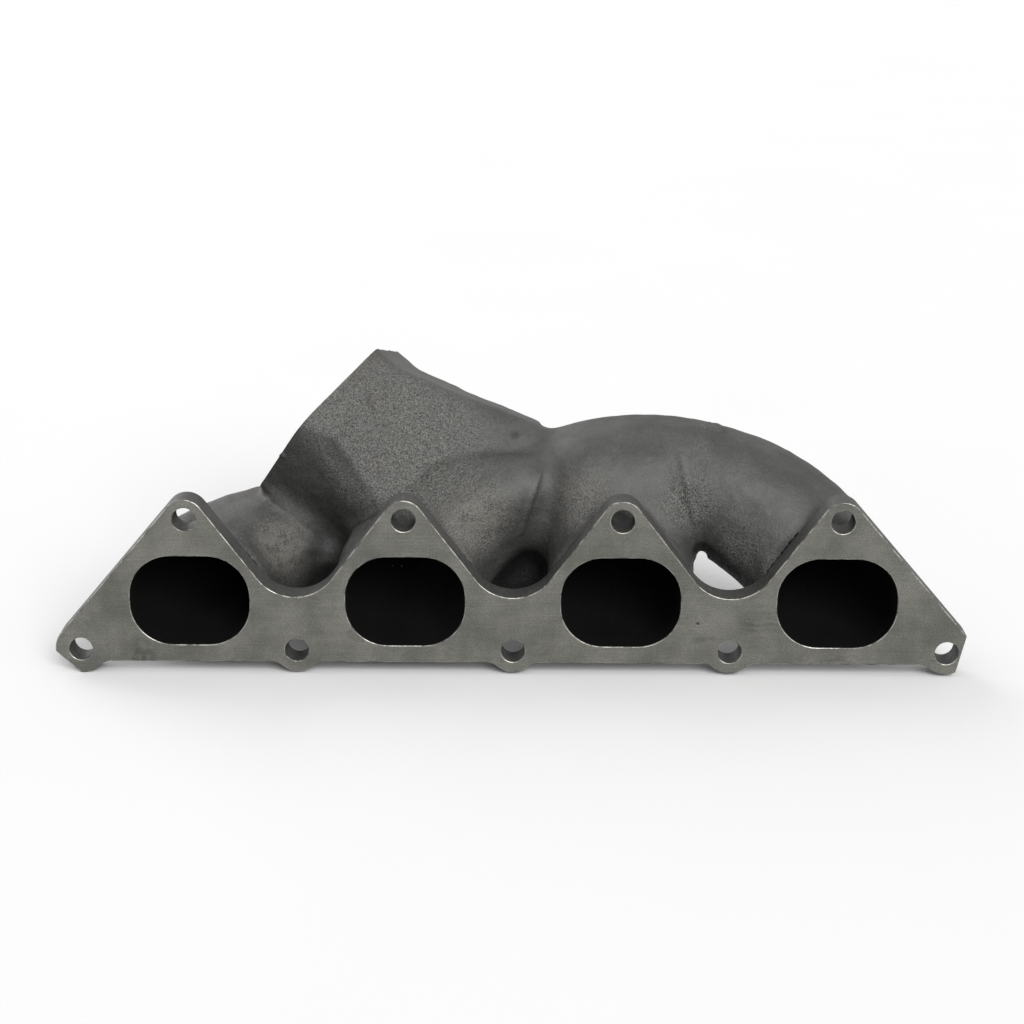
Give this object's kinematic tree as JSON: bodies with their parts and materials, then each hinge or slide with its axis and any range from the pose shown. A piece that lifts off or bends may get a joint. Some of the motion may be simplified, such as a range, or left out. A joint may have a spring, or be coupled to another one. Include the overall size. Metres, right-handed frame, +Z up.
{
  "type": "exhaust manifold",
  "caption": "Cast-iron exhaust manifold: curved runners lead from a head flange with triangular peaks to a block that carries the turbocharger.",
  "frame": {"origin": "centre of the middle stud hole of the lower row, on the machined face that bolts to the cylinder head", "axes": "+X along the flange, from runner 1 to runner 4; +Y away from the cylinder head; +Z up, from the lower row of stud holes to the upper one"},
  "size_m": [0.3912, 0.1451, 0.1278],
  "materials": {
    "cast_iron": "rough sand-cast skin",
    "machined_iron": "fine milled face"
  },
  "bodies": {
    "root": {"head_flange": "machined_iron", "runner_1": "cast_iron", "runner_2": "cast_iron", "runner_3": "cast_iron", "runner_4": "cast_iron", "collector": "cast_iron", "outlet_flange": "cast_iron", "runner_web": "cast_iron", "cast_pad": "cast_iron"}
  },
  "joints": []
}
